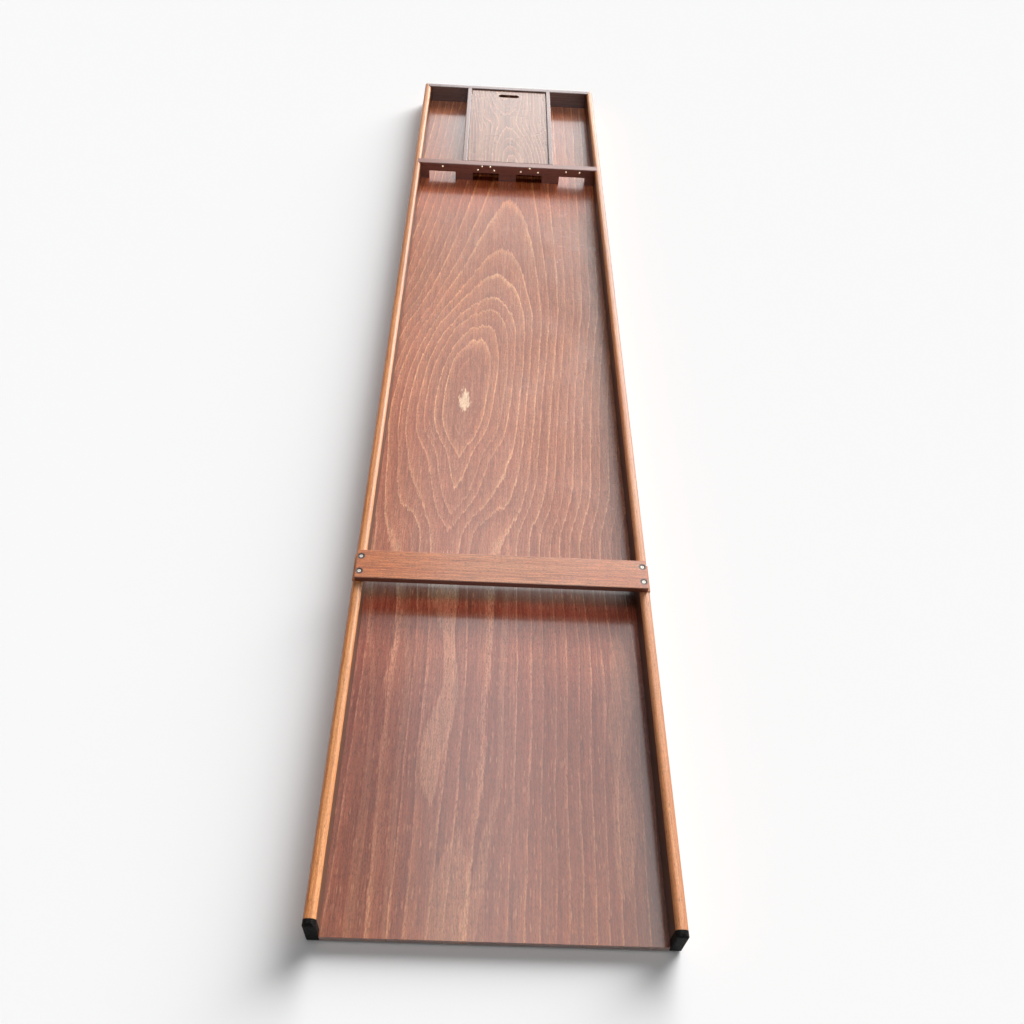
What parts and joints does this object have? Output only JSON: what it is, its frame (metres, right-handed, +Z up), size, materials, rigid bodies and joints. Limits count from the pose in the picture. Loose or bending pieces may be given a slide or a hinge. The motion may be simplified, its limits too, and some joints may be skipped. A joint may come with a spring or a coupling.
{
  "type": "dutch shuffleboard",
  "caption": "Long table-top shuffleboard with a floor between two rails, a crossbar near the player, scoring gates and compartments at the far end, and a lift-out lid over the middle ones.",
  "frame": {"origin": "middle of the board's footprint, on the table that it lies on", "axes": "+Y from the player's end along the lane to the gates, +X to the player's right, +Z up"},
  "size_m": [0.414, 2, 0.059],
  "materials": {
    "floor_wood": "red-brown stained veneer, glossy lacquer",
    "rail_wood": "stained solid wood, satin lacquer",
    "cross_bar_wood": "stained solid wood, satin lacquer",
    "gate_wood": "dark stained solid wood, glossy lacquer",
    "partition_wood": "stained solid wood, satin lacquer",
    "lid_wood": "pale veneer, satin lacquer",
    "batten_wood": "bare softwood",
    "cap_plastic": "black moulded plastic, scuffed",
    "pin_brass": "polished domed heads",
    "screw_steel": "zinc plated",
    "nail_steel": "bright drawn wire"
  },
  "bodies": {
    "board": {"floor_panel": "floor_wood", "left_rail": "rail_wood", "right_rail": "rail_wood", "back_wall": "partition_wood", "gate_bar": "gate_wood", "cross_bar": "cross_bar_wood", "left_partition": "partition_wood", "right_partition": "partition_wood", "center_partition": "partition_wood", "left_lid_ledge": "partition_wood", "right_lid_ledge": "partition_wood", "left_end_cap": "cap_plastic", "right_end_cap": "cap_plastic", "front_batten": "batten_wood", "middle_batten": "batten_wood", "rear_batten": "batten_wood", "score_pins_one": "pin_brass", "score_pins_four": "pin_brass", "score_pins_three": "pin_brass", "score_pins_two": "pin_brass", "cross_bar_screws": "screw_steel", "gate_bar_screws": "screw_steel", "back_wall_screws": "screw_steel", "floor_screws": "screw_steel", "batten_screws": "screw_steel", "partition_nails": "nail_steel", "ledge_nails": "nail_steel"},
    "lid": {"lid_panel": "lid_wood"}
  },
  "joints": [
    {"name": "lid_lift", "type": "slide", "parent": "board", "child": "lid", "axis": [0, 0, 1], "range_m": [0, 0.15]}
  ]
}
